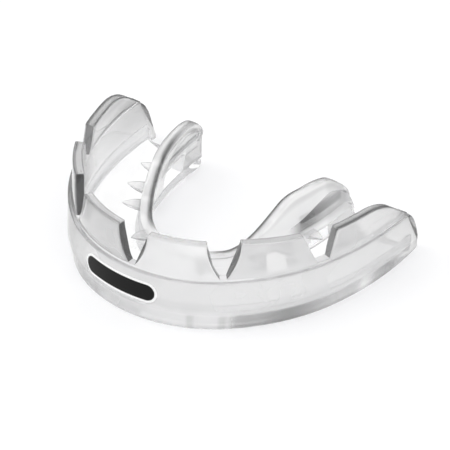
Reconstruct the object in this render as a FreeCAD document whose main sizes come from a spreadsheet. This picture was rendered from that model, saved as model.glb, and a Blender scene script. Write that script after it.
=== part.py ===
import FreeCAD, Part
import math
import os
import re

import Sketcher
from FreeCAD import Rotation, Vector

# Clear mouthguard for the upper teeth, made to fit over braces.
#
# Frame: +Z points up towards the gums, the front of the mouth faces -Y, and the wearer's left is +X.
# The origin is under the middle of the guard, on its flat base.
# Inside each sketch y = 0 is the foremost point of the guard. Every sub-part is then moved back by half
# of the arch length.
#
# The plan of the guard is an arch of three tangent arcs on each side: front, side and rear.
# "Turn" is the direction of the arch, in degrees: 0 at the front centre, 90 where it runs straight back.
# "Offset" is the distance inside the outer face, and "run" the length along the outer face from the
# front centre.

DIMENSIONS = {
    # arch in plan
    "front_radius": 27.0,
    "side_radius": 42.5,
    "rear_radius": 70.0,
    "front_turn": 43.0,
    "side_turn": 32.0,
    "rear_turn": 26.0,
    "arch_length": 53.6,
    "plate_end": 49.4,
    # lip-side shell
    "shell_wall": 2.4,
    "seam_height": 11.0,
    "rim_height": 3.8,
    "rim_inset": 0.7,
    "heel_slope": 36.0,
    "heel_corner": 50.2,
    "heel_radius": 4.5,
    # bite plate under the teeth
    "plate_thickness": 2.4,
    "plate_width": 15.5,
    # tongue-side wall
    "palate_wall": 2.4,
    "palate_lean": 2.5,
    "palate_low": 7.4,
    "palate_crest": 16.0,
    "palate_rise_start": 18.0,
    "palate_rise_end": 35.0,
    "palate_crest_end": 39.4,
    "window_height": 4.4,
    "slot_bottom": 8.6,
    "slot_height": 1.7,
    "slot_offset": 16.1,
    # lip-side flaps
    "flap_inset": 0.7,
    "flap_wall": 2.1,
    "root_height": 11.6,
    "root_gap": 0.15,
    "centre_notch_top": 3.4,
    "centre_notch_bottom": 1.4,
    "front_notch_run": 19.1,
    "front_notch_top": 3.4,
    "front_notch_bottom": 1.0,
    "rear_notch_start": 35.0,
    "rear_notch_end": 43.4,
    "rear_notch_run": 40.1,
    "rear_notch_bottom": 1.5,
    "notch_curve": 16.0,
    "front_flap_height": 19.4,
    "middle_flap_front_height": 19.7,
    "middle_flap_rear_height": 18.7,
    "rear_flap_height": 17.6,
    "rear_flap_crest_run": 50.5,
    "rear_flap_fall_radius": 16.0,
    # retention fins inside the channel
    "fin_reach": 3.4,
    "fin_width": 3.2,
    "fin_thickness": 0.8,
    "fin_height": 7.0,
    # printed mark on the front
    "mark_run": -2.7,
    "mark_length": 17.0,
    "mark_width": 3.6,
    "mark_height": 6.9,
    "mark_border": 0.5,
    "mark_layer": 0.1,
}

# Reach of the cutting sketches, well beyond the guard, and the slack in finding edges.
TALL = 40.0
WIDE = 60.0
TOUCH = 0.01

doc = FreeCAD.newDocument("mouthguard")
sheet = doc.addObject("Spreadsheet::Sheet", "Sheet")
for row, (alias, value) in enumerate(DIMENSIONS.items(), start=1):
    sheet.set(f"A{row}", alias)
    sheet.set(f"B{row}", str(value))
    sheet.setAlias(f"B{row}", alias)
doc.recompute()


# ---------------------------------------------------------------- formulas

def bound(formula):
    """The formula as an expression that any object of the document can hold."""
    return re.sub(r"\b([a-z]+(?:_[a-z]+)+)\b", r"Sheet.\1", str(formula))


def number(formula):
    """The formula's present value."""
    return float(sheet.evalExpression(str(formula)))


def point_number(point):
    return Vector(number(point[0]), number(point[1]), 0)


TURNS = ("0", "front_turn", "(front_turn + side_turn)", "(front_turn + side_turn + rear_turn)")
RADII = ("front_radius", "side_radius", "rear_radius")
CENTRES = [("0", "front_radius")]
for before, after, turn in ((0, 1, TURNS[1]), (1, 2, TURNS[2])):
    step = f"({RADII[after]} - {RADII[before]})"
    x_before, y_before = CENTRES[before]
    CENTRES.append((f"({x_before} - {step} * sin({turn}))", f"({y_before} + {step} * cos({turn}))"))


def arch_point(arc, turn, offset):
    """Plan position on the right half of the arch, at a turn within one of its arcs."""
    radius = f"({RADII[arc]} - ({offset}))"
    x_centre, y_centre = CENTRES[arc]
    return f"{x_centre} + {radius} * sin({turn})", f"{y_centre} - {radius} * cos({turn})"


def arc_start_run(arc):
    """Run at which an arc begins."""
    lengths = [f"{RADII[k]} * ({TURNS[k + 1]} - {TURNS[k]}) * pi / 180" for k in range(arc)]
    return "(" + " + ".join(lengths or ["0"]) + ")"


def turn_at(arc, run):
    """Turn of the arch at a run that lies within one of its arcs."""
    return f"({TURNS[arc]} + ({run} - {arc_start_run(arc)}) / {RADII[arc]} * 180 / pi)"


# ---------------------------------------------------------------- building blocks

def new_body(name):
    return doc.addObject("PartDesign::Body", name)


def new_sketch(body, name, role, height="0"):
    """Sketch on one of the body's origin planes, lifted by height along its normal."""
    sketch = body.newObject("Sketcher::SketchObject", name)
    plane = next(item for item in body.Origin.OriginFeatures if item.Role == role)
    sketch.AttachmentSupport = (plane, [""])
    sketch.MapMode = "FlatFace"
    sketch.setExpression("AttachmentOffset.Base.z", bound(height))
    return sketch


def arc_between(start, end, bend):
    """Circle arc from start to end. It turns left when bend is positive, right when negative."""
    half = (end - start) * 0.5
    left = Vector(-half.y, half.x, 0).normalize()
    rise = math.sqrt(max(bend ** 2 - half.Length ** 2, 0))
    centre = start + half + left * math.copysign(rise, bend)
    first, last = (start, end) if bend > 0 else (end, start)
    angles = [math.atan2((p - centre).y, (p - centre).x) for p in (first, last)]
    return Part.ArcOfCircle(Part.Circle(centre, Vector(0, 0, 1), abs(bend)), angles[0], angles[1])


def draw_outline(sketch, corners):
    """Closed outline. A corner is (x, y, bend): bend is None for a straight edge to the next corner,
    or the radius of an arc to it, with a minus sign when the arc turns right."""
    places = [point_number(corner) for corner in corners]
    starts, ends, edges = [], [], []
    for index, (_, _, bend) in enumerate(corners):
        start, end = places[index], places[(index + 1) % len(places)]
        if bend is None:
            edges.append(sketch.addGeometry(Part.LineSegment(start, end)))
        else:
            edges.append(sketch.addGeometry(arc_between(start, end, number(bend))))
        turns_right = bend is not None and number(bend) < 0
        starts.append(2 if turns_right else 1)
        ends.append(1 if turns_right else 2)
    for index, (x, y, bend) in enumerate(corners):
        before = index - 1
        sketch.addConstraint(Sketcher.Constraint(
            "Coincident", edges[before], ends[before], edges[index], starts[index]))
        for kind, formula, place in (("DistanceX", x, places[index].x), ("DistanceY", y, places[index].y)):
            limit = sketch.addConstraint(Sketcher.Constraint(
                kind, -1, 1, edges[index], starts[index], place))
            sketch.setExpression(f"Constraints[{limit}]", bound(formula))
        if bend is not None:
            limit = sketch.addConstraint(Sketcher.Constraint("Radius", edges[index], abs(number(bend))))
            sketch.setExpression(f"Constraints[{limit}]", bound(f"abs({bend})"))


def draw_arch_band(sketch, outer, inner):
    """U-shaped band between two offsets, following the whole arch."""
    corners = []
    for offset, sign in ((outer, ""), (inner, "-")):
        bends = [f"{sign}({radius} - ({offset}))" for radius in RADII]
        ends = [arch_point(max(k - 1, 0), TURNS[k], offset) for k in (3, 2, 1)]
        side = [(f"0 - ({x})", y) for x, y in ends]
        around = list(zip(side, (bends[2], bends[1], bends[0])))
        around += list(zip(reversed(ends), (bends[1], bends[2], None)))
        if sign:
            places = [place for place, _ in reversed(around)]
            around = list(zip(places, (bends[2], bends[1], bends[0], bends[1], bends[2], None)))
        corners += [(x, y, bend) for (x, y), bend in around]
    draw_outline(sketch, corners)


def draw_sector(sketch, arc, first_turn, last_turn, outer, inner, side):
    """Piece of one arc between two turns and two offsets. Side is 1 or -1."""
    def corner(turn, offset):
        x, y = arch_point(arc, turn, offset)
        return f"{side} * ({x})", y

    outer_radius = f"{side} * ({RADII[arc]} - ({outer}))"
    inner_radius = f"{-side} * ({RADII[arc]} - ({inner}))"
    draw_outline(sketch, [
        (*corner(first_turn, outer), outer_radius),
        (*corner(last_turn, outer), None),
        (*corner(last_turn, inner), inner_radius),
        (*corner(first_turn, inner), None),
    ])


def pad(body, name, sketch, length, symmetric=False):
    feature = body.newObject("PartDesign::Pad", name)
    feature.Profile = sketch
    feature.SideType = "Symmetric" if symmetric else "One side"
    feature.setExpression("Length", bound(length))
    doc.recompute()
    return feature


def pocket(body, name, sketch, length, symmetric=False, upwards=False):
    """Cut, and stop if it removes nothing."""
    before = body.Shape.Volume
    feature = body.newObject("PartDesign::Pocket", name)
    feature.Profile = sketch
    feature.SideType = "Symmetric" if symmetric else "One side"
    feature.Reversed = upwards
    feature.setExpression("Length", bound(length))
    doc.recompute()
    if body.Shape.Volume > before - 1e-3:
        raise RuntimeError(f"{name} cuts nothing")
    return feature


def seat(item):
    """Move a finished sub-part so that the origin is under the middle of the guard."""
    item.setExpression("Placement.Base.y", bound("0 - arch_length / 2"))


# ---------------------------------------------------------------- sub-parts

def outer_shell():
    """Lip-side wall with a tapered rim below and the narrow root strip of the flaps above."""
    body = new_body("outer_shell")
    wall_lines = new_sketch(body, "wall_lines", "XY_Plane")
    draw_arch_band(wall_lines, "0", "shell_wall")
    pad(body, "wall", wall_lines, "seam_height")
    root_lines = new_sketch(body, "root_lines", "XY_Plane", "seam_height")
    draw_arch_band(root_lines, "flap_inset", "shell_wall")
    pad(body, "root_strip", root_lines, "root_height - seam_height")

    heel_lines = new_sketch(body, "heel_lines", "YZ_Plane")
    slope_end = arch_point(2, FLAP_REAR_TURN, "flap_inset")[1]
    corner_height = f"root_height - (heel_corner - ({slope_end})) * tan(heel_slope)"
    draw_outline(heel_lines, [
        (f"{slope_end} - 1 / tan(heel_slope)", "root_height + 1", None),
        ("heel_corner", corner_height, None),
        ("arch_length", "0", None),
        ("arch_length", f"0 - {TALL}", None),
        (f"2 * {WIDE}", f"0 - {TALL}", None),
        (f"2 * {WIDE}", "root_height + 1", None),
    ])
    pocket(body, "heels", heel_lines, 2 * WIDE, symmetric=True)

    walls = body.Tip
    rounding = body.newObject("PartDesign::Fillet", "heel_rounding")
    rounding.Base = (walls, edges_where(walls.Shape, lambda box: (
        box.ZLength < TOUCH
        and abs(box.YMin - number("heel_corner")) < TOUCH
        and abs(box.ZMin - number(corner_height)) < TOUCH)))
    rounding.setExpression("Radius", bound("heel_radius"))
    doc.recompute()

    taper = body.newObject("PartDesign::Chamfer", "rim_taper")
    taper.Base = (rounding, edges_where(rounding.Shape, is_outer_bottom_edge))
    taper.ChamferType = "Two distances"
    taper.setExpression("Size", bound("rim_height"))
    taper.setExpression("Size2", bound("rim_inset"))
    doc.recompute()
    base_face = next(face for face in body.Shape.Faces if face.BoundBox.ZMax < TOUCH)
    if abs(base_face.BoundBox.YMin - number("rim_inset")) > TOUCH:
        taper.FlipDirection = True
    seat(body)


def edges_where(shape, wanted):
    """Names of the edges whose bounding box passes the test."""
    return [f"Edge{k}" for k, edge in enumerate(shape.Edges, start=1) if wanted(edge.BoundBox)]


def is_outer_bottom_edge(box):
    """True for the bottom edges of the outer face. They alone reach the widest or foremost line."""
    if box.ZMax > TOUCH:
        return False
    widest = max(-box.XMin, box.XMax)
    joints = [point_number(arch_point(arc, TURNS[arc + 1], "0")) for arc in range(len(RADII))]
    foremost = abs(box.YMin) < TOUCH
    beside = any(abs(box.YMin - joint.y) < TOUCH and widest > joint.x - TOUCH for joint in joints)
    return foremost or beside


def bite_plate():
    """Flat plate that the upper teeth bite on."""
    body = new_body("bite_plate")
    lines = new_sketch(body, "plate_lines", "XY_Plane")
    draw_arch_band(lines, "shell_wall", "plate_width")
    pad(body, "plate", lines, "plate_thickness")
    end_lines = new_sketch(body, "end_lines", "YZ_Plane")
    draw_outline(end_lines, [
        ("plate_end", f"0 - {TALL}", None),
        (f"2 * {WIDE}", f"0 - {TALL}", None),
        (f"2 * {WIDE}", f"{TALL}", None),
        ("plate_end", f"{TALL}", None),
    ])
    pocket(body, "plate_ends", end_lines, 2 * WIDE, symmetric=True)
    seat(body)


# Windows in the tongue-side wall: arc, first turn, last turn.
WINDOWS = ((1, 62, 74), (2, 78.5, 87.5))
SLOT = (2, 80, 93)


def palate_wall():
    """Tongue-side wall: low at the front, high beside the molars, leaning inwards, with windows."""
    body = new_body("palate_wall")
    loft = body.newObject("PartDesign::AdditiveLoft", "leaning_wall")
    foot_lines = new_sketch(body, "foot_lines", "XY_Plane", "plate_thickness")
    draw_arch_band(foot_lines, "plate_width - palate_wall", "plate_width")
    top_lines = new_sketch(body, "top_lines", "XY_Plane", "palate_crest")
    draw_arch_band(top_lines, "plate_width - palate_wall + palate_lean", "plate_width + palate_lean")
    loft.Profile = foot_lines
    loft.Sections = [top_lines]
    loft.Ruled = True
    doc.recompute()

    crest_lines = new_sketch(body, "crest_lines", "YZ_Plane")
    rise = "(palate_crest - palate_low)"
    travel = "(palate_rise_end - palate_rise_start)"
    bend = f"({travel} * {travel} + {rise} * {rise}) / (4 * {rise})"
    end_radius = "(plate_end - palate_crest_end)"
    draw_outline(crest_lines, [
        (f"0 - {WIDE}", "palate_low", None),
        ("palate_rise_start", "palate_low", bend),
        (f"palate_rise_start + {travel} / 2", f"palate_low + {rise} / 2", f"0 - {bend}"),
        ("palate_rise_end", "palate_crest", None),
        ("palate_crest_end", "palate_crest", f"0 - {end_radius}"),
        ("plate_end", f"palate_crest - {end_radius}", None),
        ("plate_end", f"0 - {TALL}", None),
        (f"2 * {WIDE}", f"0 - {TALL}", None),
        (f"2 * {WIDE}", f"{TALL}", None),
        (f"0 - {WIDE}", f"{TALL}", None),
    ])
    pocket(body, "crest", crest_lines, 2 * WIDE, symmetric=True)

    window_lines = new_sketch(body, "window_lines", "XY_Plane", "plate_thickness")
    for side in (1, -1):
        for arc, first, last in WINDOWS:
            draw_sector(window_lines, arc, first, last, "plate_width - palate_wall - 1",
                        "plate_width + palate_lean", side)
    pocket(body, "windows", window_lines, "window_height", upwards=True)
    slot_lines = new_sketch(body, "slot_lines", "XY_Plane", "slot_bottom")
    for side in (1, -1):
        draw_sector(slot_lines, *SLOT, "slot_offset", "plate_width + palate_lean", side)
    pocket(body, "slots", slot_lines, "slot_height", upwards=True)
    seat(body)


FRONT_FLAP_RUN = "((centre_notch_top + front_notch_run - front_notch_top) / 2)"
MIDDLE_FLAP_RUN = "((front_notch_run + front_notch_top + rear_notch_start) / 2)"
REAR_FLAP_RUN = "((rear_notch_end + rear_flap_crest_run) / 2)"
FALL = "(rear_flap_height - rear_flap_fall_radius * (1 - cos(heel_slope)))"
FLAP_REAR_RUN = (f"(rear_flap_crest_run + rear_flap_fall_radius * sin(heel_slope)"
                 f" + ({FALL} - root_height) / tan(heel_slope))")
FLAP_REAR_TURN = turn_at(2, FLAP_REAR_RUN)


def flap_ring():
    """Full ring from which the six flaps are cut. It isn't a sub-part itself."""
    body = new_body("flap_ring")
    lines = new_sketch(body, "ring_lines", "XY_Plane", "root_height + root_gap")
    draw_arch_band(lines, "flap_inset", "flap_inset + flap_wall")
    pad(body, "ring", lines, "middle_flap_front_height + 1 - root_height")
    return body


def flap(name, ring, arc, middle_run, corners):
    """One flap on the left, cut from the ring by its front-view outline, and its mirror image.
    The outline's corners are (run, height, bend)."""
    view = new_body(f"{name}_view")
    lines = new_sketch(view, "view_lines", "XZ_Plane")
    draw_outline(lines, [(f"{run} - {middle_run}", height, bend) for run, height, bend in corners])
    pad(view, "view", lines, "5 * flap_wall", symmetric=True)
    turn = turn_at(arc, middle_run)
    x, y = arch_point(arc, turn, "flap_inset + flap_wall / 2")
    view.setExpression("Placement.Base.x", bound(x))
    view.setExpression("Placement.Base.y", bound(y))
    view.Placement.Rotation = Rotation(Vector(0, 0, 1), 1)
    view.setExpression("Placement.Rotation.Angle", bound(turn))
    left = doc.addObject("Part::Common", f"{name}_left")
    left.Base = ring
    left.Tool = view
    seat(left)
    right = doc.addObject("Part::Mirroring", f"{name}_right")
    right.Source = left
    right.Normal = Vector(1, 0, 0)
    doc.recompute()


def flaps():
    """Three flaps a side, parted by notches, so that each can spring outwards on its own."""
    ring = flap_ring()
    root = "root_height"
    flap("front_flap", ring, 0, FRONT_FLAP_RUN, [
        ("centre_notch_bottom", root, None),
        ("front_notch_run - front_notch_bottom", root, "0 - notch_curve"),
        ("front_notch_run - front_notch_top", "front_flap_height", None),
        ("centre_notch_top", "front_flap_height", "0 - notch_curve"),
    ])
    flap("middle_flap", ring, 1, MIDDLE_FLAP_RUN, [
        ("front_notch_run + front_notch_bottom", root, None),
        ("rear_notch_run - rear_notch_bottom", root, "0 - 3 * notch_curve"),
        ("rear_notch_start", "middle_flap_rear_height", None),
        ("front_notch_run + front_notch_top", "middle_flap_front_height", "0 - notch_curve"),
    ])
    flap("rear_flap", ring, 2, REAR_FLAP_RUN, [
        ("rear_notch_run + rear_notch_bottom", root, None),
        (FLAP_REAR_RUN, root, None),
        ("rear_flap_crest_run + rear_flap_fall_radius * sin(heel_slope)", FALL, "rear_flap_fall_radius"),
        ("rear_flap_crest_run", "rear_flap_height", None),
        ("rear_notch_end", "rear_flap_height", None),
    ])


# Fins: arc and turn of each.
FINS = ((0, 30), (1, 58), (1, 70), (2, 79.5))


def retention_fins():
    """Small leaf-shaped fins on the tooth side of the tongue-side wall, level with its rail."""
    for name, side in (("retention_fins_left", 1), ("retention_fins_right", -1)):
        body = new_body(name)
        lines = new_sketch(body, "fin_lines", "XY_Plane", "fin_height")
        lean = "palate_lean * (fin_height - plate_thickness) / (palate_crest - plate_thickness)"
        root = f"(plate_width - palate_wall + {lean})"
        tip = f"({root} - fin_reach)"
        for arc, turn in FINS:
            half_turn = f"(fin_width / 2 / ({RADII[arc]} - {root}) * 180 / pi)"
            first = arch_point(arc, f"({turn} - {half_turn})", root)
            point = arch_point(arc, turn, tip)
            last = arch_point(arc, f"({turn} + {half_turn})", root)
            draw_outline(lines, [
                (f"{side} * ({first[0]})", first[1], f"{side} * fin_width"),
                (f"{side} * ({point[0]})", point[1], f"{side} * fin_width"),
                (f"{side} * ({last[0]})", last[1], f"{-side} * ({RADII[arc]} - {root})"),
            ])
        pad(body, "fins", lines, "fin_thickness")
        seat(body)


def mark_layer(name, outer, inner, grow):
    """One printed layer: a rounded bar on the front of the shell."""
    ring = new_body(f"{name}_ring")
    ring_lines = new_sketch(ring, "ring_lines", "XY_Plane", "rim_height")
    draw_arch_band(ring_lines, outer, inner)
    pad(ring, "ring", ring_lines, "seam_height - rim_height")
    view = new_body(f"{name}_view")
    lines = new_sketch(view, "view_lines", "XZ_Plane")
    half_width = f"(mark_width / 2 + {grow})"
    reach = "(mark_length / 2 - mark_width / 2)"
    low, high = f"mark_height - {half_width}", f"mark_height + {half_width}"
    left_end, right_end = f"mark_run - {reach}", f"mark_run + {reach}"
    draw_outline(lines, [
        (left_end, low, None),
        (right_end, low, f"{half_width}"),
        (f"{right_end} + {half_width}", "mark_height", f"{half_width}"),
        (right_end, high, None),
        (left_end, high, f"{half_width}"),
        (f"{left_end} - {half_width}", "mark_height", f"{half_width}"),
    ])
    pad(view, "view", lines, "2 * arch_length / 3", symmetric=True)
    layer = doc.addObject("Part::Common", name)
    layer.Base = ring
    layer.Tool = view
    seat(layer)
    doc.recompute()


def printed_mark():
    """Plain bar printed on the front: a white border layer with a black layer on it."""
    mark_layer("mark_border", "0 - mark_layer", "0", "mark_border")
    mark_layer("mark_ink", "0 - 2 * mark_layer", "0 - mark_layer", "0")


outer_shell()
bite_plate()
palate_wall()
flaps()
retention_fins()
printed_mark()
doc.recompute()

# ---------------------------------------------------------------- check and write

SUB_PARTS = (
    "outer_shell", "bite_plate", "palate_wall",
    "front_flap_left", "middle_flap_left", "rear_flap_left",
    "front_flap_right", "middle_flap_right", "rear_flap_right",
    "retention_fins_left", "retention_fins_right",
    "mark_border", "mark_ink",
)

for item in doc.Objects:
    faults = [state for state in item.State if state in ("Invalid", "Error")]
    if faults:
        raise RuntimeError(f"{item.Name} is {faults}")

for name in SUB_PARTS:
    shape = doc.getObject(name).Shape
    if shape.isNull() or not shape.isValid() or not shape.Solids:
        raise RuntimeError(f"{name} has no valid shape")

os.makedirs("parts", exist_ok=True)
for name in SUB_PARTS:
    doc.getObject(name).Shape.exportStep(f"parts/{name}.step")
    box = doc.getObject(name).Shape.BoundBox
    print(f"{name}: x {box.XMin:.2f} to {box.XMax:.2f}, y {box.YMin:.2f} to {box.YMax:.2f},"
          f" z {box.ZMin:.2f} to {box.ZMax:.2f}, volume {doc.getObject(name).Shape.Volume:.1f}")
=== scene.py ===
import math

import bmesh
import bpy
import numpy as np
from mathutils import Matrix, Vector


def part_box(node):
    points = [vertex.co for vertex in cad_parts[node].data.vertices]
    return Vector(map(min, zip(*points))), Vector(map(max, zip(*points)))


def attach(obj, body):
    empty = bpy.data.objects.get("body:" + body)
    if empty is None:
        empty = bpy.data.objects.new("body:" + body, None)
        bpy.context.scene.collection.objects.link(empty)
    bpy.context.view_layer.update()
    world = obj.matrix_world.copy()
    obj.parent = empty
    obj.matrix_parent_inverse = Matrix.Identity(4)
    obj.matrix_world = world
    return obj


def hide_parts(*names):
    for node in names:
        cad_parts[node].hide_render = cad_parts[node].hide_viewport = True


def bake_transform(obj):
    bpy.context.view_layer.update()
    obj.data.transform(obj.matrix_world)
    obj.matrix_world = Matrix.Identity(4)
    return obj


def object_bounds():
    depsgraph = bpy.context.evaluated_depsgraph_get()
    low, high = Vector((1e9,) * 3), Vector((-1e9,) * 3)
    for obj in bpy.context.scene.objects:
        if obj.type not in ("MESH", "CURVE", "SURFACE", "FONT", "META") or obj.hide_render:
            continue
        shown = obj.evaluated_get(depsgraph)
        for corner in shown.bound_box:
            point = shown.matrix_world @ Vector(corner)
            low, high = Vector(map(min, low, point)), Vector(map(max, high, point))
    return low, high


# The looks of a clear upper mouthguard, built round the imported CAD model.
#
# Lengths are in millimetres until place() turns them into metres in the frame of the CAD model.
# "Run" is the length along the outer face from the front centre, positive to the wearer's left (+X).
# "Offset" is the distance inside the outer face. Heights start at the flat base.
# A section is a closed outline of (offset, height) points; a piece is lofted through many of them.

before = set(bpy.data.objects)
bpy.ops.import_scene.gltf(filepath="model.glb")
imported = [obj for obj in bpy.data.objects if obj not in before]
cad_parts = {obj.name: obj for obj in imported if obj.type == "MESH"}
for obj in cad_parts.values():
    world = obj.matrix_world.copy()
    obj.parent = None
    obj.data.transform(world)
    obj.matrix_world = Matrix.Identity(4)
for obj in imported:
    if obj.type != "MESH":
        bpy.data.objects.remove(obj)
cad_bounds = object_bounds()
MM = 0.001

# ---------------------------------------------------------------- plan of the arch

# Three tangent arcs on each side: front, side and rear.
RADII = np.array([27.0, 42.5, 70.0])
TURNS = np.radians([0.0, 43.0, 75.0])
ARC_STARTS = np.array([0.0, *np.cumsum(RADII[:2] * np.diff(TURNS))])
FRONT_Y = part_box("outer_shell")[0].y / MM


def arc_centres():
    centres = [np.array([0.0, RADII[0]])]
    for k in (1, 2):
        outwards = np.array([math.sin(TURNS[k]), -math.cos(TURNS[k])])
        centres.append(centres[-1] + (RADII[k - 1] - RADII[k]) * outwards)
    return np.array(centres)


CENTRES = arc_centres()


def place(points):
    """Positions in metres for points given as (run, offset, height)."""
    run, offset, height = np.moveaxis(np.asarray(points, float), -1, 0)
    along = np.abs(run)
    arc = np.searchsorted(ARC_STARTS[1:], along)
    turn = TURNS[arc] + (along - ARC_STARTS[arc]) / RADII[arc]
    radius = RADII[arc] - offset
    x = (CENTRES[arc, 0] + radius * np.sin(turn)) * np.where(run < 0, -1, 1)
    y = CENTRES[arc, 1] - radius * np.cos(turn) + FRONT_Y
    return np.stack([x, y, height], axis=-1) * MM


# ---------------------------------------------------------------- sizes

RIM = 3.8
RIM_INSET = 0.7
SEAM = 11.0
ROOT = 11.6
LEDGE = 0.7
WALL = 2.4
PLATE = 2.4
WIDTH = 15.5

FLAP_WALL = 2.1
HINGE_ZONE = 3.0
FRONT_TOP = 19.4
REAR_TOP = 17.6
CREST_RUN = 50.5
FALL_RADIUS = 16.0
SLOPE = math.radians(36)
FALL_RUN = CREST_RUN + FALL_RADIUS * math.sin(SLOPE)
FALL_TOP = REAR_TOP - FALL_RADIUS * (1 - math.cos(SLOPE))
FLAP_END = FALL_RUN + (FALL_TOP - ROOT) / math.tan(SLOPE)

SHELL_END = 70.5
HEEL_LEAN = 0.37
HEEL_ROUNDING = 0.9

PLATE_END = 67.0

PALATE_END = 67.4
PALATE_FOOT_END = 69.4
PALATE_LOW = 7.4
PALATE_CREST = 15.6
PALATE_LEAN = 2.6


def smooth(low, high, value):
    """Rises from 0 to 1 between low and high, level at both ends."""
    share = np.clip((value - low) / (high - low), 0, 1)
    return share * share * (3 - 2 * share)


def bump_at(middle, half_width, value):
    """1 at the middle, falling smoothly to 0 at half_width away."""
    return 1 - smooth(0, half_width, np.abs(value - middle))


# ---------------------------------------------------------------- mesh building

# Edges that turn by more degrees than this are shaded as sharp.
SHARP_ANGLE = 35


def rounded_outline(corners, edge_steps=6, arc_steps=4):
    """Closed outline of straight edges between corners (x, y, radius). Each corner is a quadratic
    bend of about that radius, drawn smaller where the edges are short."""
    count = len(corners)
    bends = []
    for k, (x, y, radius) in enumerate(corners):
        here = np.array([x, y])
        before = np.array(corners[k - 1][:2]) - here
        after = np.array(corners[(k + 1) % count][:2]) - here
        lengths = np.linalg.norm(before), np.linalg.norm(after)
        before, after = before / lengths[0], after / lengths[1]
        half_angle = math.acos(max(-1, min(1, float(before @ after)))) / 2
        cut = min(radius / math.tan(half_angle), 0.49 * min(lengths))
        share = np.linspace(0, 1, arc_steps + 1)[:, None]
        bends.append(here + before * cut * (1 - share) ** 2 + after * cut * share ** 2)
    points = []
    for k, bend in enumerate(bends):
        following = bends[(k + 1) % count][0]
        share = np.linspace(0, 1, edge_steps + 1)[1:-1, None]
        points += [bend, bend[-1] * (1 - share) + following * share]
    return np.concatenate(points)


def section_at(run, outline):
    """Points (run, offset, height) of an outline standing across the arch."""
    return np.column_stack([np.broadcast_to(run, len(outline)), outline])


def loft(name, sections, painted_shade=None, sharp_angle=SHARP_ANGLE):
    """Closed solid through sections of (run, offset, height), with a cap at each end.
    The shade function, if given, takes (run, offset, height) and says how much shade is painted there,
    from 0 to 1."""
    sections = np.array(sections)
    count, size, _ = sections.shape
    faces = []
    for k in range(count - 1):
        for j in range(size):
            following = (j + 1) % size
            faces.append((k * size + j, k * size + following,
                          (k + 1) * size + following, (k + 1) * size + j))
    faces.append(tuple(reversed(range(size))))
    faces.append(tuple(range((count - 1) * size, count * size)))
    points = sections.reshape(-1, 3)
    data = bpy.data.meshes.new(name)
    data.from_pydata(place(points).tolist(), [], faces)
    # painted shade, stored on the mesh for the material to read
    painted_shades = np.zeros(len(points)) if painted_shade is None else np.clip(painted_shade(*points.T), 0, 1)
    data.attributes.new("painted_shade", "FLOAT", "POINT").data.foreach_set("value", painted_shades.astype(np.float32))
    piece = bpy.data.objects.new(name, data)
    bpy.context.scene.collection.objects.link(piece)
    clean_mesh(piece, sharp_angle)
    return piece


def clean_mesh(piece, sharp_angle):
    """Merge doubled points, turn the faces outwards and shade smoothly between sharp edges."""
    mesh = bmesh.new()
    mesh.from_mesh(piece.data)
    bmesh.ops.remove_doubles(mesh, verts=mesh.verts, dist=1e-7)
    bmesh.ops.recalc_face_normals(mesh, faces=mesh.faces)
    mesh.to_mesh(piece.data)
    mesh.free()
    piece.data.shade_smooth()
    piece.data.set_sharp_from_angle(angle=math.radians(sharp_angle))


def end_inset(distance, radius):
    """How far a rounded end has drawn in, at a distance from its tip."""
    if distance >= radius:
        return 0.0
    return radius - math.sqrt(radius ** 2 - (radius - max(distance, 0)) ** 2)


def stations(first, last, spacing, radius):
    """Runs from first to last, closer together in the two rounded ends."""
    near = radius * (1 - np.cos(np.radians([0, 22.5, 45, 67.5])))
    inside = np.linspace(first + radius, last - radius, max(2, round((last - first) / spacing)))
    return np.concatenate([first + near, inside, (last - near)[::-1]])


def join(name, pieces):
    """One object from several."""
    with bpy.context.temp_override(active_object=pieces[0], selected_editable_objects=pieces):
        bpy.ops.object.join()
    pieces[0].name = name
    return pieces[0]


# ---------------------------------------------------------------- materials

def add_node(tree, kind, inputs=(), **settings):
    """New shader node. Inputs are (socket, value or output to link) pairs."""
    made = tree.nodes.new(kind)
    for key, value in settings.items():
        setattr(made, key, value)
    for socket, value in inputs:
        if isinstance(value, bpy.types.NodeSocket):
            tree.links.new(value, made.inputs[socket])
        else:
            made.inputs[socket].default_value = value
    return made


def map_range(tree, value, low, high, to_low, to_high):
    """Output that follows value from low..high to to_low..to_high."""
    return add_node(tree, "ShaderNodeMapRange", [
        ("Value", value), ("From Min", low), ("From Max", high),
        ("To Min", to_low), ("To Max", to_high)]).outputs[0]


def multiply(tree, first, second):
    return add_node(tree, "ShaderNodeMath", [(0, first), (1, second)], operation="MULTIPLY").outputs[0]


def grey(value):
    """A very slightly cool grey."""
    return (value, value, value * 1.006, 1)


def new_material(name):
    material = bpy.data.materials.new(name)
    material.use_nodes = True
    material.node_tree.nodes.clear()
    return material, material.node_tree


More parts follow.
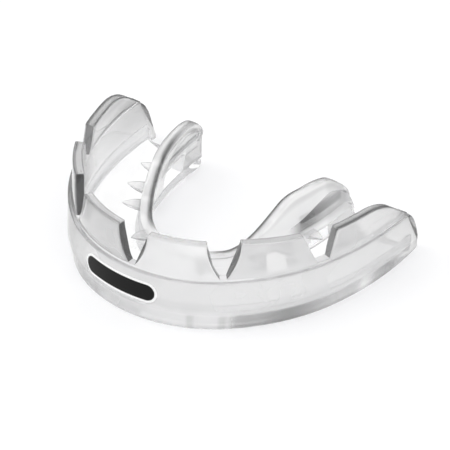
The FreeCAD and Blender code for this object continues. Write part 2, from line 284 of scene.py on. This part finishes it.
def clear_plastic(name, clarity, bright):
    """Clear plastic with a milky haze. Clarity is the share of light that it lets through where
    it is seen face on; seen along its surface it is fully clear, so edges draw dark lines.
    Bright is the tint. The shade painted on the mesh makes places darker where light runs along an edge."""
    material, tree = new_material(name)
    place_in = add_node(tree, "ShaderNodeTexCoord").outputs["Object"]
    clouds = add_node(tree, "ShaderNodeTexNoise", [
        ("Vector", place_in), ("Scale", 70), ("Detail", 2)]).outputs["Fac"]
    grain = add_node(tree, "ShaderNodeTexNoise", [
        ("Vector", place_in), ("Scale", 1100), ("Detail", 3)]).outputs["Fac"]
    # painted shade read from the mesh pulls the colour towards near black
    painted_shade = add_node(tree, "ShaderNodeAttribute", attribute_name="painted_shade").outputs["Fac"]
    facing = add_node(tree, "ShaderNodeLayerWeight", [("Blend", 0.5)]).outputs["Facing"]

    haze = map_range(tree, clouds, 0.3, 0.7, bright - 0.03, bright + 0.02)
    # painted shade: the colour falls to half where the surface is seen edge on
    limb_shade = map_range(tree, facing, 0.72, 0.97, 1.0, 0.5)
    edge_on = map_range(tree, facing, 0.45, 0.8, 0.0, 1.0)
    face_on = map_range(tree, clouds, 0.3, 0.7, clarity - 0.04, clarity + 0.04)
    let_through = add_node(tree, "ShaderNodeMix", [
        ("Factor", edge_on), (2, face_on), (3, 1.0)], data_type="FLOAT")
    color = add_node(tree, "ShaderNodeMix", [
        ("Factor", painted_shade), (6, multiply(tree, haze, limb_shade)), (7, grey(0.02))], data_type="RGBA")
    bump = add_node(tree, "ShaderNodeBump", [
        ("Strength", 0.05), ("Distance", 0.0002), ("Height", grain)])
    body = add_node(tree, "ShaderNodeBsdfPrincipled", [
        ("Base Color", color.outputs[2]), ("Normal", bump.outputs[0]), ("IOR", 1.45),
        ("Roughness", map_range(tree, clouds, 0.3, 0.7, 0.03, 0.09)),
        ("Transmission Weight", let_through.outputs[0])])

    # most shadow and soft bounce rays pass through, so that the plastic lets light onto the floor
    soft_share = 0.85
    path = add_node(tree, "ShaderNodeLightPath")
    soft = add_node(tree, "ShaderNodeMath", [
        (0, path.outputs["Is Shadow Ray"]), (1, path.outputs["Is Diffuse Ray"])], operation="MAXIMUM")
    through = add_node(tree, "ShaderNodeBsdfTransparent", [("Color", grey(0.95))])
    mixed = add_node(tree, "ShaderNodeMixShader", [
        (0, multiply(tree, soft.outputs[0], soft_share)), (1, body.outputs[0]), (2, through.outputs[0])])
    add_node(tree, "ShaderNodeOutputMaterial", [("Surface", mixed.outputs[0])])
    return material


def print_ink(name, color):
    """Printed ink with fine speckle."""
    material, tree = new_material(name)
    place_in = add_node(tree, "ShaderNodeTexCoord").outputs["Object"]
    speckle = add_node(tree, "ShaderNodeTexNoise", [
        ("Vector", place_in), ("Scale", 2500), ("Detail", 2)]).outputs["Fac"]
    shades = map_range(tree, speckle, 0.3, 0.7, color * 0.9, color * 1.05)
    bump = add_node(tree, "ShaderNodeBump", [
        ("Strength", 0.1), ("Distance", 0.00005), ("Height", speckle)])
    body = add_node(tree, "ShaderNodeBsdfPrincipled", [
        ("Base Color", shades), ("Normal", bump.outputs[0]), ("Specular IOR Level", 0.12),
        ("Roughness", map_range(tree, speckle, 0.3, 0.7, 0.32, 0.48))])
    add_node(tree, "ShaderNodeOutputMaterial", [("Surface", body.outputs[0])])
    return material


# Copies of the one clear plastic. Their tints are painted light and shade: the walls are darker than the
# upward-facing plate, and the palate wall lies in between.
WALL_PLASTIC = clear_plastic("clear_wall", 0.68, 0.92)
PLATE_PLASTIC = clear_plastic("clear_plate", 0.80, 1.0)
PALATE_PLASTIC = clear_plastic("clear_palate", 0.60, 0.97)
# a much darker copy of the clear plastic, used as painted shade in the recessed slots
SHADED_RECESS_PLASTIC = clear_plastic("clear_recess_shaded", 0.45, 0.5)
BLACK_INK = print_ink("black_ink", 0.008)
WHITE_INK = print_ink("white_ink", 0.9)


def dress(piece, material, slot, *nodes):
    """Let a piece stand for the CAD nodes, and give it its material unless it already has one."""
    if not piece.data.materials:
        piece.data.materials.append(material)
    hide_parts(*nodes)


# ---------------------------------------------------------------- lip-side shell

def heel_run(height):
    """Run at which the shell ends: the rear flap's slope rounds over into a steep heel."""
    slope = FLAP_END + (ROOT - height) / math.tan(SLOPE)
    heel = SHELL_END - HEEL_LEAN * height
    lowest = np.exp(-slope / HEEL_ROUNDING) + np.exp(-heel / HEEL_ROUNDING)
    return -HEEL_ROUNDING * np.log(lowest)


def shell_painted_shade(run, offset, height):
    """Painted shade: a dark tapered rim with dark lines where ribs show through and dark and light
    streaks, a shaded band above it, a thin dark line on the ledge and a dark outline round the heel. The
    two sides differ, as they do in the photo."""
    rim = 1 - smooth(RIM - 0.4, RIM + 0.1, height)
    # painted shade on the rim, different on the two sides
    left_side_shade = smooth(19, 23, run) * (0.42 - 0.2 * smooth(30, 60, run))
    right_side_shade = 0.3 * bump_at(-16, 8, run) + 0.2 * bump_at(-38, 12, run)
    # dark lines painted where ribs show through the rim
    rib_shade_lines = 0.25 * (bump_at(12.8, 0.9, run) + bump_at(19.1, 0.9, run) + bump_at(-9, 1.2, run))
    # painted dark line along the ledge
    ledge = 0.10 * bump_at(SEAM + 0.1, 0.35, height) * (offset < LEDGE + 0.1)
    # painted dark outline round the heel
    heel = 0.25 * smooth(-1.6, -0.5, np.abs(run) - heel_run(height))
    outer_face = smooth(RIM - 0.1, RIM + 0.3, height) * (offset < LEDGE)
    # painted shade over the outer face, stronger on the right side
    band = outer_face * (0.25 + 0.5 * smooth(14, 26, -run) * (1 - smooth(40, 50, -run)))
    # painted dark streaks, and one painted light streak where the term is negative
    streak_shade_and_highlight = 0.2 * bump_at(33, 8, run) + 0.3 * bump_at(58, 5, run) - 0.4 * bump_at(51.5, 2.5, run)
    rim_shade = np.clip(0.06 + left_side_shade + right_side_shade + rib_shade_lines + streak_shade_and_highlight, 0, 1)
    return rim * rim_shade + band + ledge + heel


def ledge_fade(along):
    """Share by which the ledge has narrowed at a distance from the front centre."""
    return 0.45 * smooth(25, 60, along)


def shell():
    """Lip-side wall: tapered rim, flat band, ledge, and the root strip that the flaps grow from."""
    sections = []
    end_radius = 1.1
    straight = 56.0
    for run in stations(-SHELL_END, SHELL_END, 0.7, end_radius):
        along = abs(run)
        inset = end_inset(SHELL_END - along, end_radius)
        ledge = LEDGE * (1 - ledge_fade(along))
        top_radius = 0.06 + 0.5 * smooth(FLAP_END - 1, FLAP_END + 1, along)
        outline = rounded_outline([
            (WALL - inset, 0, 0.25),
            (RIM_INSET + inset, 0, 0.3),
            (inset, RIM, 0.9),
            (inset, SEAM, 0.3),
            (ledge + inset, SEAM + 0.12, 0.12),
            (ledge + inset, ROOT, top_radius),
            (WALL - inset, ROOT, top_radius),
        ])
        beyond = max(along - straight, 0) / (SHELL_END - straight)
        runs = min(along, straight) + beyond * (heel_run(outline[:, 1]) - straight)
        sections.append(section_at(math.copysign(1, run) * runs, outline))
    piece = loft("shell_moulding", sections, shell_painted_shade)
    dress(piece, WALL_PLASTIC, "clear_elastomer", "outer_shell")
    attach(piece, "guard")


# ---------------------------------------------------------------- bite plate

def plate_end(offset):
    """Run at which the plate ends. Its rear edge is hollow between the two walls."""
    depth, middle, half_width = 2.0, 9.0, 6.6
    hollow = depth * (1 - ((offset - middle) / half_width) ** 2)
    return PLATE_END - hollow + 0.8 * smooth(12.5, 15.3, offset)


def bite_plate():
    """Plate under the teeth. It rises in a round fillet to the lip-side wall."""
    fillet = 2.6
    end_radius = 0.9
    last = PLATE_END - 1
    sections = []
    for run in stations(-last, last, 0.9, end_radius):
        inset = end_inset(last - abs(run), end_radius)
        outline = rounded_outline([
            (WIDTH, inset, 0.5),
            (WALL - 0.1, inset, 0.1),
            (WALL - 0.1, PLATE + fillet - inset, 0.02),
            (WALL + 0.25 + inset, PLATE + fillet - inset, 0.2),
            (WALL + 0.45 + inset, PLATE + 0.15 - inset, fillet),
            (WIDTH, PLATE - inset, 0.3),
        ], edge_steps=9)
        sections.append(section_at(run * plate_end(outline[:, 0]) / last, outline))
    piece = loft("bite_plate_moulding", sections)
    dress(piece, PLATE_PLASTIC, "clear_elastomer", "bite_plate")
    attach(piece, "guard")


# ---------------------------------------------------------------- tongue-side wall

WINDOWS = ((34.5, 43.0), (49.0, 59.3))
WINDOW_HEIGHTS = (1.8, 7.0)
SLOT = (48.0, 64.5)
SLOT_HEIGHTS = (8.7, 10.4)
RAIL_TOP = 7.3


def palate_top(run):
    """Height of the wall along the arch: low front, rise, crest and rounded rear corner."""
    crest_end, end_drop = 52.5, 7.3
    if run <= crest_end:
        return PALATE_LOW + (PALATE_CREST - PALATE_LOW) * smooth(22, 48, run)
    fall = min((run - crest_end) / (PALATE_END - crest_end), 1)
    return PALATE_CREST - end_drop * (1 - math.sqrt(1 - fall ** 2))


def palate_lean(height):
    """How far the wall leans in over the tongue at a height."""
    rise = np.clip((height - PLATE) / (PALATE_CREST - PLATE), 0, None)
    return PALATE_LEAN * rise ** 1.25


def groove_top(run):
    """Upper edge of the groove on the tooth side. It climbs towards the back, then falls."""
    along = np.abs(run)
    return 9.4 + 2.6 * smooth(43, 59, along) - 1.7 * smooth(58, 67, along)


def groove_depth(run):
    """1 where the groove is fully formed, 0 towards the front and at the rear end."""
    along = np.abs(run)
    return smooth(42, 50, along) * (1 - smooth(65, 67, along))


def palate_painted_shade(run, offset, height):
    """Painted shade: dark streaks along the thick rim, and shade on the tongue side and in the groove."""
    along = np.abs(run)
    below_top = np.array([palate_top(r) for r in along]) - height
    across = offset - palate_lean(height) - WIDTH
    on_rim = 1 - smooth(0.5, 1.8, below_top)
    strength = smooth(12, 24, along) * (1 - 0.4 * smooth(46, 54, along))
    # painted shade streak along the thick rim
    rim_streak_shade = strength * bump_at(-0.4, 1.0, across)
    # painted dark line on the lip side of the rim
    lip_shade_line = 0.6 * bump_at(-2.7, 0.5, across)
    rim = on_rim * np.maximum(rim_streak_shade, lip_shade_line)
    # painted shade on the tongue side, darker towards the rear
    tongue_side = (0.12 + 0.4 * smooth(58, 60, along)) * smooth(-1.0, -0.3, across) * (1 - on_rim)
    # painted shade in the recessed groove
    groove_shade = groove_depth(run) * smooth(RAIL_TOP, RAIL_TOP + 0.3, height)
    groove_shade = groove_shade * (1 - smooth(-0.1, 0.3, height - groove_top(run))) * (across < -0.8)
    return np.maximum(rim, tongue_side) + groove_shade * (0.85 - 0.5 * smooth(48, 62, along))


def palate_wall():
    """Leaning wall with a thick rim, a rail and a groove on the tooth side, and windows."""
    foot = PLATE - 0.1
    rail_face = WIDTH - 2.2
    tooth_face = WIDTH - 2.1
    rail_reach = 0.7
    groove_cut = 0.9
    bead = 0.4
    rim_height = 2.4
    straight = 60.0
    end_lean = 0.3
    end_radius = 0.9
    sections = []
    for run in stations(-PALATE_END, PALATE_END, 0.7, end_radius):
        along = abs(run)
        inset = end_inset(PALATE_END - along, end_radius)
        top = palate_top(along) - inset
        depth = float(groove_depth(along))
        level = (top - foot) / (PALATE_CREST - foot)
        rail_low = foot + min(3.0, 0.40 * (top - foot))
        rail_high = foot + min(RAIL_TOP - foot, 0.55 * (top - foot))
        edge = max(rail_high + 0.4, min(float(groove_top(along)), top - rim_height * level))
        outline = rounded_outline([
            (WIDTH - inset, foot, 0.2),
            (WIDTH - 2.3 + inset, foot, 0.1),
            (rail_face + inset, rail_low, 0.1),
            (rail_face - rail_reach * depth + inset, rail_low + 0.2, 0.15),
            (rail_face - rail_reach * depth + inset, rail_high, 0.2),
            (tooth_face + groove_cut * depth, rail_high + 0.2, 0.15),
            (tooth_face + groove_cut * depth, edge, 0.3),
            (tooth_face - 0.1 * depth + inset, edge + 0.5, 0.3),
            (tooth_face - bead + inset, top, 0.9),
            (WIDTH + 0.2 - inset, top, 0.9),
            (WIDTH - 0.1 - inset, top - rim_height * level, 1.2),
        ], edge_steps=4)
        outline[:, 0] += palate_lean(outline[:, 1])
        beyond = max(along - straight, 0) / (PALATE_END - straight)
        runs = along + beyond * (PALATE_FOOT_END - end_lean * outline[:, 1] - PALATE_END)
        sections.append(section_at(math.copysign(1, run) * runs, outline))
    piece = loft("palate_wall_moulding", sections, palate_painted_shade)
    cut_openings(piece)
    dress(piece, PALATE_PLASTIC, "clear_elastomer", "palate_wall")
    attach(piece, "guard")


def cutter(first, last, low, high, near, far, material):
    """Block along the arch between two offsets, with rounded corners in side view.
    The faces that it leaves in the wall get its material."""
    corners = [(first, low, 0.5), (last, low, 0.5), (last, high, 0.5), (first, high, 0.5)]
    outline = rounded_outline(corners, edge_steps=12)
    layers = [np.insert(outline, 1, offset, axis=1) for offset in np.linspace(near, far, 4)]
    block = loft("cutter", layers)
    block.data.materials.append(material)
    return block


def cut_openings(piece):
    """Cut the windows right through, and the shallow slots on the tongue side."""
    through_wall = (WIDTH - 4, WIDTH + 3)
    tongue_side = (WIDTH + 0.3, WIDTH + 4)
    piece.data.materials.append(PALATE_PLASTIC)
    blocks = []
    for side in (1, -1):
        for first, last in WINDOWS:
            blocks.append(cutter(side * first, side * last, *WINDOW_HEIGHTS,
                                 *through_wall, PALATE_PLASTIC))
        # the slot faces take the darker copy of the plastic as painted shade
        blocks.append(cutter(side * SLOT[0], side * SLOT[1], *SLOT_HEIGHTS,
                             *tongue_side, SHADED_RECESS_PLASTIC))
    for block in blocks:
        cut = piece.modifiers.new("cut", "BOOLEAN")
        cut.operation = "DIFFERENCE"
        cut.solver = "EXACT"
        cut.material_mode = "TRANSFER"
        cut.object = block
    bpy.context.view_layer.update()
    shown = piece.evaluated_get(bpy.context.evaluated_depsgraph_get())
    piece.data = bpy.data.meshes.new_from_object(shown)
    piece.modifiers.clear()
    for block in blocks:
        bpy.data.objects.remove(block)
    clean_mesh(piece, SHARP_ANGLE)


# ---------------------------------------------------------------- lip-side flaps

def flap_side(top_run, root_run, power):
    """Side edge of a flap: its run at a height share from 0 at the root to 1 at the top."""
    return lambda share: top_run + (root_run - top_run) * (1 - np.clip(share, 0, 1)) ** power


# Front edge, rear edge and the height of the top along the run, for each flap.
FLAPS = {
    "front_flap": (flap_side(3.4, 0.75, 2.2), flap_side(15.6, 18.4, 2.0), lambda run: FRONT_TOP),
    "middle_flap": (flap_side(22.4, 19.8, 2.0), flap_side(35.1, 38.8, 1.15),
                    lambda run: 19.6 - (run - 22.5) / 12.6),
    "rear_flap": (flap_side(43.5, 41.6, 1.0), flap_side(FLAP_END, FLAP_END, 1.0), None),
}


def rear_flap_top(run):
    """Top of the rear flap: level crest, round fall, then a straight slope."""
    if run < CREST_RUN:
        return REAR_TOP
    if run < FALL_RUN:
        return REAR_TOP - FALL_RADIUS + math.sqrt(FALL_RADIUS ** 2 - (run - CREST_RUN) ** 2)
    return FALL_TOP - (run - FALL_RUN) * math.tan(SLOPE)


def flap_painted_shade(name, side, depth_share, over_top, at_end):
    """Painted shade on a flap's outline: a faint body, darker on the lip side of the right-hand front and
    middle flaps, a stronger strip along the top, dark end faces.
    Depth share is 0 on the lip side and 1 on the tooth side. Over top is the height above the top."""
    is_rear = name == "rear_flap"
    # painted shade along the top strip
    top_strip_shade = 0.2
    if is_rear:
        top_strip_shade = 0.35 + 0.5 * bump_at(0.2, 0.35, depth_share) + 0.6 * bump_at(0.95, 0.2, depth_share)
    # painted shade on the body, more on the lip side of the right-hand front and middle flaps
    body = np.full(len(depth_share), 0.0 if name == "front_flap" else 0.12)
    if side < 0 and not is_rear:
        body += 0.4 * (depth_share < 0.3)
    # painted shade on the end faces
    end_face_shade = (0.75 if is_rear else 0.95) * at_end
    return np.maximum(body + smooth(-0.35, -0.1, over_top) * top_strip_shade, end_face_shade)


def flap(name, side):
    """One flap with rounded edges. Side is 1 for the left and -1 for the right."""
    start_side, end_side, top_at = FLAPS[name]
    is_rear = top_at is None
    foot = ROOT - 0.02
    end_radius = 0.3
    first, last = float(start_side(0)), float(end_side(0))
    full_height = (REAR_TOP if is_rear else FRONT_TOP) - foot
    sections, painted_shades = [], []
    for run in stations(first, last, 0.6, end_radius):
        share = (run - first) / (last - first)
        inset = end_inset(min(run - first, last - run), end_radius)
        if is_rear:
            inset *= share < 0.5
            top = rear_flap_top(run) - inset
        else:
            top = top_at(start_side(1) + share * (end_side(1) - start_side(1))) - inset
        height = max(top - foot, 0.05)
        outline = rounded_outline([
            (WALL, foot, 0.01),
            (LEDGE + inset, foot, 0.01),
            (LEDGE + 0.05 + inset, foot + height, min(0.4, height * 0.3)),
            (LEDGE + FLAP_WALL - inset, foot + height, min(0.6, height * 0.3)),
            (LEDGE + FLAP_WALL - 0.05 - inset, foot + min(1.6, height * 0.5), 1.0),
        ], edge_steps=7)
        level = (outline[:, 1] - foot) / full_height
        runs = start_side(level) + share * (end_side(level) - start_side(level))
        depth_share = (outline[:, 0] - LEDGE) / FLAP_WALL
        over_top = outline[:, 1] - foot - height
        painted_shades.append(flap_painted_shade(name, side, depth_share, over_top, inset > 0.9 * end_radius))
        near_root = np.clip(1 - (outline[:, 1] - foot) / HINGE_ZONE, 0, 1)
        outline[:, 0] -= LEDGE * ledge_fade(run) * near_root
        sections.append(section_at(side * runs, outline))
    flat_painted_shades = np.concatenate(painted_shades)
    word = "left" if side > 0 else "right"
    piece = loft(f"{name}_{word}_moulding", sections, lambda *_: flat_painted_shades)
    dress(piece, WALL_PLASTIC, "clear_elastomer", f"{name}_{word}")
    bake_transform(piece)


def flaps():
    for name in FLAPS:
        for side in (1, -1):
            flap(name, side)


# ---------------------------------------------------------------- retention fins

FINS = (14.1, 31.4, 40.3, 49.5)
FIN_ROOT = 13.9
FIN_REACH = 3.5
FIN_SUNK = 0.5
FIN_HEIGHT = 7.0
FIN_TIP_RISE = 0.5
FIN_HALF_WIDTH = 1.7


def fin_painted_shade(run, offset, height):
    """A faint grey, with painted shade on the underside."""
    # faint grey everywhere, plus painted shade under the fin
    return 0.1 + 0.4 * (1 - smooth(-0.3, 0.1, height - FIN_HEIGHT))


def fin(run, side):
    """Leaf-shaped fin that reaches from the wall towards the teeth and tips up slightly."""
    arc = np.searchsorted(ARC_STARTS[1:], run)
    stretch = RADII[arc] / (RADII[arc] - FIN_ROOT)
    layers = []
    for share in np.linspace(0, 0.97, 8):
        half = FIN_HALF_WIDTH * stretch * (1 - share ** 1.8)
        thick = 0.4 * (1 - 0.75 * share)
        corner = thick * 0.8
        outline = rounded_outline([
            (-half, -thick, corner),
            (half, -thick, corner),
            (half, thick, corner),
            (-half, thick, corner),
        ], arc_steps=2)
        runs = side * (run + outline[:, 0])
        offsets = np.full(len(runs), FIN_ROOT + FIN_SUNK - share * (FIN_REACH + FIN_SUNK))
        heights = FIN_HEIGHT + FIN_TIP_RISE * share + outline[:, 1]
        layers.append(np.column_stack([runs, offsets, heights]))
    return loft("fin", layers, fin_painted_shade)


def fins():
    for side, word in ((1, "left"), (-1, "right")):
        piece = join(f"fins_{word}_moulding", [fin(run, side) for run in FINS])
        dress(piece, PLATE_PLASTIC, "clear_elastomer", f"retention_fins_{word}")
        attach(piece, "guard")


# ---------------------------------------------------------------- printed mark

def mark_layer(name, material, slot, node, margin, under, over):
    """Rounded bar that follows the curve of the shell, between two heights above its face."""
    middle, length, width, height = -2.7, 17.0, 3.6, 6.9
    radius = width / 2 + margin
    reach = (length - width) / 2
    round_end = radius * np.cos(np.radians(np.linspace(3, 90, 12)))
    straight = np.linspace(-reach, reach, 20)[1:-1]
    sections = []
    for run in np.concatenate([-reach - round_end, straight, (reach + round_end)[::-1]]):
        beyond = max(abs(run) - reach, 0)
        half = math.sqrt(radius ** 2 - beyond ** 2)
        edge = min(0.03, half * 0.3)
        outline = rounded_outline([
            (-under, height - half, 0.001),
            (-under, height + half, 0.001),
            (-over, height + half, edge),
            (-over, height - half, edge),
        ], edge_steps=8)
        sections.append(section_at(middle + run, outline))
    piece = loft(name, sections, sharp_angle=60)
    dress(piece, material, slot, node)
    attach(piece, "guard")


# ---------------------------------------------------------------- floor, light and camera

def glass_ray(tree):
    """1 for rays that have been reflected or have come through the plastic, else 0."""
    path = add_node(tree, "ShaderNodeLightPath")
    return add_node(tree, "ShaderNodeMath", [
        (0, path.outputs["Is Glossy Ray"]), (1, path.outputs["Is Transmission Ray"])],
        operation="MAXIMUM").outputs[0]


def floor():
    """White floor. Seen through the plastic and in reflections it glows instead, as painted light that
    fades to dark grey further out, which draws the edges.
    """
    extent = 3.0
    gap = 0.0001
    data = bpy.data.meshes.new("floor")
    corners = [(-extent, -extent, 0), (extent, -extent, 0), (extent, extent, 0), (-extent, extent, 0)]
    data.from_pydata(corners, [], [(0, 1, 2, 3)])
    sheet = bpy.data.objects.new("floor", data)
    bpy.context.scene.collection.objects.link(sheet)
    sheet.location.z = cad_bounds[0][2] - gap
    material, tree = new_material("floor_paper_and_glow")
    place_on = add_node(tree, "ShaderNodeTexCoord").outputs["Object"]
    away = add_node(tree, "ShaderNodeVectorMath", [(0, place_on)], operation="LENGTH").outputs["Value"]
    # painted light: the floor glows for rays through the plastic and in reflections, fading with distance
    glow_fade = map_range(tree, away, 0.040, 0.060, 1.12, 0.06)
    paper = add_node(tree, "ShaderNodeBsdfDiffuse", [("Color", grey(0.95))])
    glow_seen_through = add_node(tree, "ShaderNodeEmission", [("Strength", glow_fade)])
    mixed = add_node(tree, "ShaderNodeMixShader", [
        (0, glass_ray(tree)), (1, paper.outputs[0]), (2, glow_seen_through.outputs[0])])
    add_node(tree, "ShaderNodeOutputMaterial", [("Surface", mixed.outputs[0])])
    data.materials.append(material)


def studio_light():
    """Even white light. Reflections and the plastic itself see a dark band near the horizon."""
    world = bpy.data.worlds.new("studio")
    bpy.context.scene.world = world
    world.use_nodes = True
    tree = world.node_tree
    tree.nodes.clear()
    direction = add_node(tree, "ShaderNodeTexCoord").outputs["Generated"]
    height = add_node(tree, "ShaderNodeSeparateXYZ", [(0, direction)]).outputs["Z"]
    band = map_range(tree, height, 0.1, 0.5, 0.05, 1.2)
    strength = add_node(tree, "ShaderNodeMix", [
        ("Factor", glass_ray(tree)), (2, 1.05), (3, band)], data_type="FLOAT")
    sky = add_node(tree, "ShaderNodeBackground", [("Strength", strength.outputs[0])])
    add_node(tree, "ShaderNodeOutputWorld", [("Surface", sky.outputs[0])])

    for name, spot, power in (("key_light", (-0.5, -0.5, 0.9), 4), ("fill_light", (0.8, -0.3, 0.6), 1.5)):
        data = bpy.data.lights.new(name, "AREA")
        data.energy = power
        data.size = 0.7
        lamp = bpy.data.objects.new(name, data)
        bpy.context.scene.collection.objects.link(lamp)
        lamp.location = spot
        lamp.rotation_euler = (-Vector(spot)).to_track_quat("-Z", "Y").to_euler()
    bpy.context.scene.view_settings.view_transform = "Standard"


def camera():
    """Long lens from the wearer's left, above the front, and slightly rolled."""
    turn, rise, roll = math.radians(33.1), math.radians(34.9), math.radians(-2.5)
    view_width = 0.0869
    distance = 1.2
    shift_across, shift_up = 4.92, 1.35
    right = Vector((math.cos(turn), math.sin(turn), 0))
    back = Vector((math.sin(turn) * math.cos(rise), -math.cos(turn) * math.cos(rise), math.sin(rise)))
    up = back.cross(right)
    across = math.cos(roll) * right - math.sin(roll) * up
    upright = math.sin(roll) * right + math.cos(roll) * up
    middle = Vector((0, (FRONT_Y + 24) * MM, 6 * MM))
    target = middle + across * shift_across * MM + upright * shift_up * MM
    lens = bpy.data.cameras.new("camera")
    lens.sensor_width = 36
    lens.lens = lens.sensor_width * distance / view_width
    lens.clip_end = 10
    eye = bpy.data.objects.new("camera", lens)
    bpy.context.scene.collection.objects.link(eye)
    pose = Matrix((across, upright, back)).transposed().to_4x4()
    pose.translation = target + back * distance
    eye.matrix_world = pose
    bpy.context.scene.camera = eye


shell()
bite_plate()
palate_wall()
flaps()
fins()
mark_layer("mark_border_print", WHITE_INK, "white_print", "mark_border",
           margin=0.5, under=-0.05, over=0.06)
mark_layer("mark_ink_print", BLACK_INK, "black_print", "mark_ink",
           margin=0.0, under=0.055, over=0.10)
floor()
studio_light()
camera()
